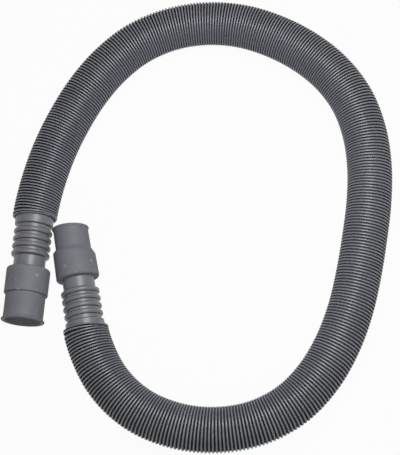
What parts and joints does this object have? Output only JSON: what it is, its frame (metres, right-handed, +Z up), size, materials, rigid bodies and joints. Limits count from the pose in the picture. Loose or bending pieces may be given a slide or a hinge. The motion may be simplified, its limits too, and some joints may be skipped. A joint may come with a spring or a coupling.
{
  "type": "washing machine drain hose",
  "caption": "Ribbed flexible grey waste hose lying in a loop, with a moulded cuff at each end, one with a wide lipped mouth and the other with a narrow mouth.",
  "frame": {"origin": "middle of the loop's bounding box, on the surface that the hose lies on", "axes": "+Z up from that surface. +Y runs along the loop's longer side, from the round end near the narrow cuff to the round end that the wide cuff's hose leads to. +X points from the two cuffs to the closed side of the loop."},
  "size_m": [0.3442, 0.4169, 0.04],
  "materials": {
    "hose_plastic": "satin mid grey plastic, ribbed all along",
    "wide_cuff_plastic": "matt blue-grey moulded plastic with a satin stem",
    "narrow_cuff_plastic": "matt blue-grey moulded plastic with a satin stem"
  },
  "bodies": {
    "root": {"corrugated_hose": "hose_plastic", "wide_mouth_cuff": "wide_cuff_plastic", "narrow_mouth_cuff": "narrow_cuff_plastic"}
  },
  "joints": []
}
